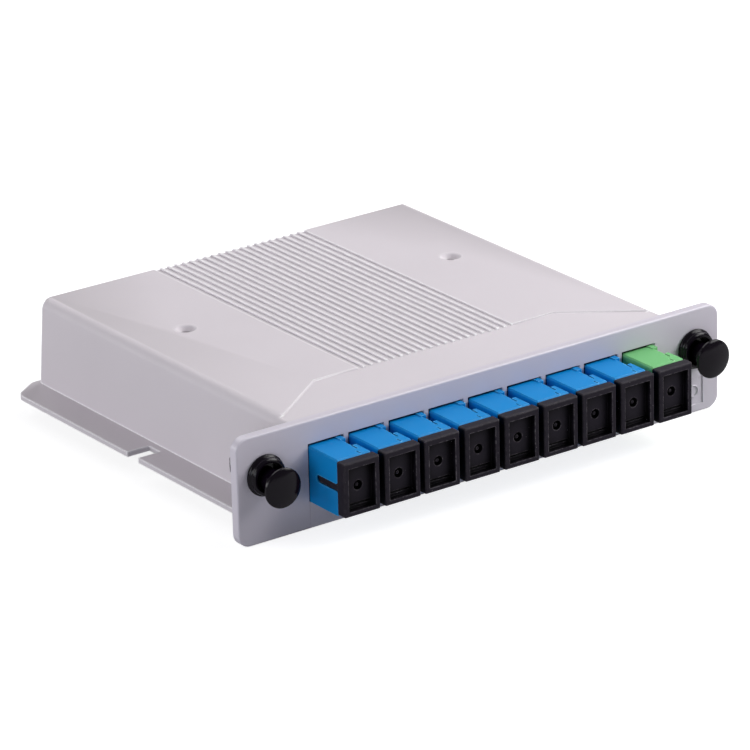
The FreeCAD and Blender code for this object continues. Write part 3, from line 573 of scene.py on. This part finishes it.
# %% Put the finishes in the CAD slots
for piece in frame["nodes"].values():
    for slot in piece.material_slots:
        slot.material = finishes[slot.material.name.split(".")[0]]
print("Finishes put on", len(frame["nodes"]), "CAD pieces")

# %% [markdown]
# ## Soft edges on the mouldings
#
# No moulded edge is truly sharp, and a sharp edge never catches the light. The mouldings' shapes are
# right in CAD, so a copy of each is taken: its loose triangles are joined, its flat areas made whole
# again, and the chosen edges bevelled. Edges are chosen by where they lie, in groups, because a
# bevel's width is limited by the smallest detail among the edges given to it. A bevel can also
# leave faces of no size, which are taken away at the end.

# %% Helpers for soft edges
WELD = 2e-6
NO_LENGTH = 1e-6
FLAT = math.radians(0.5)
SHARP = math.radians(30)
SMOOTH = math.radians(35)
CLOSE = 0.01


def moulding_copy(node):
    """A CAD piece's mesh, joined and with whole flat faces."""
    shape = bmesh.new()
    shape.from_mesh(frame["nodes"][node].data)
    bmesh.ops.remove_doubles(shape, verts=shape.verts, dist=WELD)
    bmesh.ops.dissolve_limit(shape, angle_limit=FLAT, use_dissolve_boundaries=False,
                             verts=shape.verts, edges=shape.edges, delimit=set())
    return shape


def from_panel(vert):
    """A vertex's place in millimetres, with y counted from the panel's front face."""
    return Vector((vert.co.x, vert.co.y - PANEL_FRONT, vert.co.z)) / MM


def soften(shape, radius, chosen=None, segments=2):
    """Bevels the sharp edges whose ends both pass the test, and returns how many."""
    edges = []
    for edge in shape.edges:
        if edge.is_manifold and edge.calc_face_angle() > SHARP:
            if chosen is None or all(chosen(from_panel(vert)) for vert in edge.verts):
                edges.append(edge)
    bmesh.ops.bevel(shape, geom=edges, offset=radius * MM, offset_type="OFFSET", segments=segments,
                    profile=0.5, affect="EDGES", clamp_overlap=True, loop_slide=True, material=-1)
    return len(edges)


def finished_piece(name, shape, finish, body, node):
    """Makes the shape an object with its finish, riding on a body in place of a CAD node."""
    bmesh.ops.dissolve_degenerate(shape, dist=NO_LENGTH, edges=shape.edges)
    mesh = bpy.data.meshes.new(name)
    shape.to_mesh(mesh)
    shape.free()
    mesh.materials.append(finishes[finish])
    mesh.shade_smooth()
    mesh.set_sharp_from_angle(angle=SMOOTH)
    piece = placed(name, mesh)
    flat_faces = piece.modifiers.new("flat_faces", "WEIGHTED_NORMAL")
    flat_faces.weight = 100
    flat_faces.keep_sharp = True
    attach(piece, body)
    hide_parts(node)
    return piece


# %% [markdown]
# ## The cover
#
# The cover is one thin moulding with shallow flutes on its roof and a lowered field at its front.
# In CAD the step between roof and field is a plain upright wall. The real one leans, so that it
# leaves the mould, and that lean is what catches the light. The foot of the step is moved forward
# in the copy, and out at its slanted ends.

# %% The lean of the cover's step
FIELD = panel_high.z / MM
STEP_Y = 17.8
STEP_CORNER_X = 32.6
STEP_END_X, STEP_END_Y = 49.3, 5.4
FRONT_LEAN, CORNER_LEAN, END_LEAN = 0.12, 0.42, 0.58

cover = moulding_copy("cover")
moved = 0
for vert in cover.verts:
    place = from_panel(vert)
    out_from_middle = abs(place.x)
    outwards = -1 if place.x > 0 else 1
    if abs(place.z - FIELD) > CLOSE:
        continue
    if abs(place.y - STEP_Y) < CLOSE and out_from_middle < STEP_CORNER_X + CLOSE:
        vert.co.y -= FRONT_LEAN * MM
        if abs(out_from_middle - STEP_CORNER_X) < CLOSE:
            vert.co.x += outwards * CORNER_LEAN * MM
        moved += 1
    elif abs(out_from_middle - STEP_END_X) < CLOSE and abs(place.y - STEP_END_Y) < CLOSE:
        vert.co.x += outwards * END_LEAN * MM
        moved += 1
print("Cover:", moved, "points of the step's foot moved")

# %% [markdown]
# ## The cover's soft edges
#
# The roof's edges are softened in two groups, the flutes in one and the step in the other, because
# the flutes' many small edges would hold the step's radius down.

# %% The cover's soft edges
ROOF = cover_high.z / MM - CLOSE
FLUTES_HALF = 21.3
ROOF_HALF = 48.7
STEP_BACK_Y = 18.5
FLUTE_RADIUS, STEP_RADIUS = 0.1, 0.12

flutes = soften(cover, FLUTE_RADIUS, lambda p: p.z > ROOF and abs(p.x) < FLUTES_HALF)
step = soften(cover, STEP_RADIUS,
              lambda p: p.z > ROOF and FLUTES_HALF < abs(p.x) < ROOF_HALF and p.y < STEP_BACK_Y)
print("Cover:", flutes, "flute edges and", step, "step edges softened")
finished_piece("case_cover", cover, "case_plastic", "case", "cover")

# %% [markdown]
# ## The tray
#
# The tray is an open moulding with the two notched rails. Its edges are all alike, so it gets one
# soft radius all over.

# %% The tray
TRAY_RADIUS = 0.12

tray = moulding_copy("base_tray")
print("Tray:", soften(tray, TRAY_RADIUS), "edges softened")
finished_piece("case_tray", tray, "case_plastic", "case", "base_tray")

# %% [markdown]
# ## The panel
#
# The panel's outline is already rounded in CAD. Only the front rims of the port cut-outs and the
# shallow moulding mark at its lower right corner need a radius.

# %% The panel
PORT_ROW_HALF, PORT_ROW_LOW = 48, 5.9
MARK_LEFT, MARK_TOP, MARK_BACK = 50, 9, 0.4
RIM_RADIUS, MARK_RADIUS = 0.15, 0.06

panel = moulding_copy("front_panel")
rims = soften(panel, RIM_RADIUS,
              lambda p: p.y < CLOSE and abs(p.x) < PORT_ROW_HALF and p.z > PORT_ROW_LOW)
mark = soften(panel, MARK_RADIUS, lambda p: p.y < MARK_BACK and p.x > MARK_LEFT and p.z < MARK_TOP)
print("Panel:", rims, "rim edges and", mark, "edges of the mark softened")
finished_piece("port_panel", panel, "panel_plastic", "case", "front_panel")

# %% [markdown]
# ## The adapters
#
# Each port is an adapter: a hard coloured box that a connector plugs into from either side. Eight
# are blue, and the last one is green, which is the colour for connectors polished at an angle.
# They are small, so their edges are tight, and a small radius is enough.

# %% The adapters
GREEN_PORT = 9
ADAPTER_RADIUS = 0.06

for port in PORTS:
    housing = moulding_copy(f"adapter_housing_{port}")
    count = soften(housing, ADAPTER_RADIUS)
    colour = "adapter_green" if port == GREEN_PORT else "adapter_blue"
    finished_piece(f"adapter_{port}", housing, colour, "case", f"adapter_housing_{port}")
print("Adapters:", count, "edges softened on each")

# %% [markdown]
# ## The dust plugs
#
# Every port is closed with a soft black plug, whose cap has a pocket, a fine groove and a small
# eye to grip it by. A soft moulding has rounder edges than a hard one. No plug sits exactly in
# the middle of its port, so each one is moved aside a little, within the room that its port leaves
# it. Each plug rides on its own body, because it pulls out on its own.

# %% The dust plugs
PLUG_RADIUS = 0.12
PLUG_ASIDE = [0.10, 0.11, -0.04, 0.08, 0.11, 0.11, 0.06, 0.07, 0.11]

for port, aside in zip(PORTS, PLUG_ASIDE):
    plug = moulding_copy(f"dust_plug_{port}")
    count = soften(plug, PLUG_RADIUS)
    bmesh.ops.translate(plug, verts=plug.verts, vec=(aside * MM, 0, 0))
    finished_piece(f"port_plug_{port}", plug, "dust_plug_black", f"plug_{port}", f"dust_plug_{port}")
print("Dust plugs:", count, "edges softened on each")

# %% [markdown]
# ## Turned shapes for the latches
#
# A push latch is a grommet and a plunger. Everything of it in front of the panel is round, so it is
# turned: an outline of a few corners is spun about the latch's line, and then its rims are softened,
# each with its own radius.

# %% Helpers for turned shapes
TURN_STEPS = 72
LATCH_Z = 14.9


def turned(shape, outline, x, z, closed=True):
    """Spins an outline of (radius, distance in front of the panel) and adds it to the shape."""
    points = [shape.verts.new(((x + radius) * MM, PANEL_FRONT - out * MM, z * MM))
              for radius, out in outline]
    ends = points[1:] + points[:1] if closed else points[1:]
    edges = [shape.edges.new(pair) for pair in zip(points, ends)]
    bmesh.ops.spin(shape, geom=points + edges, cent=(x * MM, PANEL_FRONT, z * MM), axis=(0, 1, 0),
                   angle=math.tau, steps=TURN_STEPS, use_merge=True)
    bmesh.ops.remove_doubles(shape, verts=shape.verts, dist=WELD)
    bmesh.ops.recalc_face_normals(shape, faces=shape.faces)


def middle_x(node):
    """The middle of a CAD piece from left to right, in millimetres."""
    low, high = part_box(node)
    return (low.x + high.x) / 2 / MM


# %% [markdown]
# ## The grommets
#
# The grommet's split barrel goes through the panel, and its flange and fat collar stay in front. The
# barrel is the CAD shape, cut off at the panel's front face and closed there, and the flange and
# collar are turned anew. They fit loosely, so they sit a little high in their hole.

# %% The outline of the flange and collar
BORE_R, MOUTH_R, COLLAR_R, COLLAR_FOOT_R, FLANGE_R = 3.0, 3.3, 4.2, 4.25, 4.65
FLANGE_OUT, COLLAR_OUT = 1.0, 2.3
FLANGE_LIFT = 0.5
NEAR = 0.1
FLANGE = [(BORE_R, 0), (BORE_R, FLANGE_OUT), (MOUTH_R, COLLAR_OUT), (COLLAR_R, COLLAR_OUT),
          (COLLAR_FOOT_R, FLANGE_OUT), (FLANGE_R, FLANGE_OUT), (FLANGE_R, 0)]
print("The flanges are", 2 * FLANGE_R, "mm across")

# %% The grommets
BARREL_CUT, BARREL_FORWARD = 0.05, 0.4
BARREL_TIP = 8
TIP_RADIUS, COLLAR_RADIUS, FLANGE_RADIUS, MOUTH_RADIUS = 0.1, 0.6, 0.48, 0.12

for side in SIDES:
    node = f"latch_grommet_{side}"
    middle = middle_x(node)
    barrel = moulding_copy(node)
    bmesh.ops.bisect_plane(barrel, geom=barrel.verts[:] + barrel.edges[:] + barrel.faces[:],
                           plane_co=(0, PANEL_FRONT + BARREL_CUT * MM, 0), plane_no=(0, 1, 0),
                           clear_inner=True)
    cut_edges = [edge for edge in barrel.edges if edge.is_boundary]
    bmesh.ops.bridge_loops(barrel, edges=cut_edges)
    cut_face = {vert for edge in cut_edges for vert in edge.verts}
    bmesh.ops.translate(barrel, verts=list(cut_face), vec=(0, -BARREL_FORWARD * MM, 0))
    soften(barrel, TIP_RADIUS, lambda p: p.y > BARREL_TIP)
    turned(barrel, FLANGE, middle, LATCH_Z + FLANGE_LIFT)

    def from_line(p):
        return math.hypot(p.x - middle, p.z - LATCH_Z - FLANGE_LIFT)

    def on_collar_face(p):
        return p.y < NEAR - COLLAR_OUT

    soften(barrel, COLLAR_RADIUS, lambda p: on_collar_face(p) and from_line(p) > COLLAR_R - NEAR, 5)
    soften(barrel, FLANGE_RADIUS,
           lambda p: -FLANGE_OUT - NEAR < p.y < CLOSE and from_line(p) > FLANGE_R - NEAR, 4)
    soften(barrel, MOUTH_RADIUS, lambda p: on_collar_face(p) and from_line(p) < MOUTH_R + NEAR)
    finished_piece(f"latch_flange_{side}", barrel, "latch_black", "case", node)
print(len(SIDES), "grommets made")

# %% [markdown]
# ## The plungers
#
# The plunger's stem runs in the barrel, and its knob is a low dome with a soft rim, to push with a
# thumb. Stem and dome are one outline from the tip to the middle of the knob's face, and the dome is
# an arc. The left knob hangs a little low on its loose stem.

# %% The outline of the plunger
KNOB_R = 4.45
KNOB_RIM = 7.05
KNOB_RISE = 0.75
DOME_RINGS = 6
STEM = [(0.0, -3.6), (2.05, -3.6), (2.45, -3.2), (2.45, 5.4), (2.5, 5.65), (3.05, 6.25),
        (4.3, 6.4), (KNOB_R, 6.5)]

dome_r = (KNOB_R ** 2 + KNOB_RISE ** 2) / (2 * KNOB_RISE)
dome = []
for ring in range(DOME_RINGS + 1):
    radius = KNOB_R * math.cos(math.pi / 2 * ring / DOME_RINGS)
    dome.append((radius, KNOB_RIM + math.sqrt(dome_r ** 2 - radius ** 2) - (dome_r - KNOB_RISE)))
print("The knobs' domes have a radius of", round(dome_r, 1), "mm")

# %% The plungers
KNOB_FOOT = 5.5
KNOB_DROP = {"left": 0.4, "right": 0.0}
KNOB_RADIUS = 0.4

for side in SIDES:
    node = f"latch_plunger_{side}"
    plunger = bmesh.new()
    turned(plunger, STEM + dome, middle_x(node), LATCH_Z, closed=False)
    knob = [vert for vert in plunger.verts if vert.co.y < PANEL_FRONT - KNOB_FOOT * MM]
    bmesh.ops.translate(plunger, verts=knob, vec=(0, 0, -KNOB_DROP[side] * MM))
    soften(plunger, KNOB_RADIUS, lambda p: abs(p.y + KNOB_RIM) < CLOSE, 4)
    finished_piece(f"latch_knob_{side}", plunger, "latch_black", f"plunger_{side}", node)
print(len(SIDES), "plungers made")

# %% [markdown]
# ## The pieces sealed inside
#
# Behind each adapter sits an inner connector, and the eight output fibres and the input fibre run
# from them to the fan-out block and the splitter's steel bar. The fibres and the ceramic sleeves
# keep their CAD shape. The moulded and drawn pieces get soft edges as the outer ones do, with a
# radius each that suits how they are made.

# %% Connectors, block and bar
CONNECTOR_RADIUS = 0.15
INNER_PIECES = {
    # node: (name, finish, radius)
    "fan_out_block": ("splitter_block", "block_plastic", 0.2),
    "splitter_module": ("splitter_bar", "splitter_steel", 0.1),
}
for port in PORTS:
    colour = "connector_green" if port == GREEN_PORT else "connector_blue"
    INNER_PIECES[f"inner_connector_{port}"] = (f"connector_{port}", colour, CONNECTOR_RADIUS)

for node, (name, finish, radius) in INNER_PIECES.items():
    shape = moulding_copy(node)
    soften(shape, radius)
    finished_piece(name, shape, finish, "case", node)
print(len(INNER_PIECES), "inner pieces softened")

# %% [markdown]
# ## The foam pad
#
# The steel bar is stuck to the tray with a strip of foam. A knife cuts the strip, and the bar
# presses it, so its sides belly out and its edges are round. A block from `create_cube` is cut
# into a grid, its sides are drawn in towards the top and bottom, and a Subdivision Surface
# modifier rounds it. It stays within the space that CAD gives it.

# %% The foam pad
PAD_CUTS = 5
PAD_DRAW_IN = 0.06
PAD_ROUNDING = 2

low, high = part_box("splitter_foam_pad")
pad_middle = (low + high) / 2
pad = bmesh.new()
bmesh.ops.create_cube(pad, size=1.0)
bmesh.ops.scale(pad, vec=high - low, verts=pad.verts)
bmesh.ops.translate(pad, vec=pad_middle, verts=pad.verts)
bmesh.ops.subdivide_edges(pad, edges=pad.edges, cuts=PAD_CUTS, use_grid_fill=True)
for vert in pad.verts:
    height = abs(vert.co.z - pad_middle.z) / (high.z - low.z) * 2
    narrower = 1 - PAD_DRAW_IN * height ** 2
    vert.co.y = pad_middle.y + (vert.co.y - pad_middle.y) * narrower
foam = finished_piece("foam_pad", pad, "pad_foam", "case", "splitter_foam_pad")
rounding = foam.modifiers.new("rounding", "SUBSURF")
rounding.levels = rounding.render_levels = PAD_ROUNDING
print("The pad is", [round(value / MM, 1) for value in high - low], "mm")
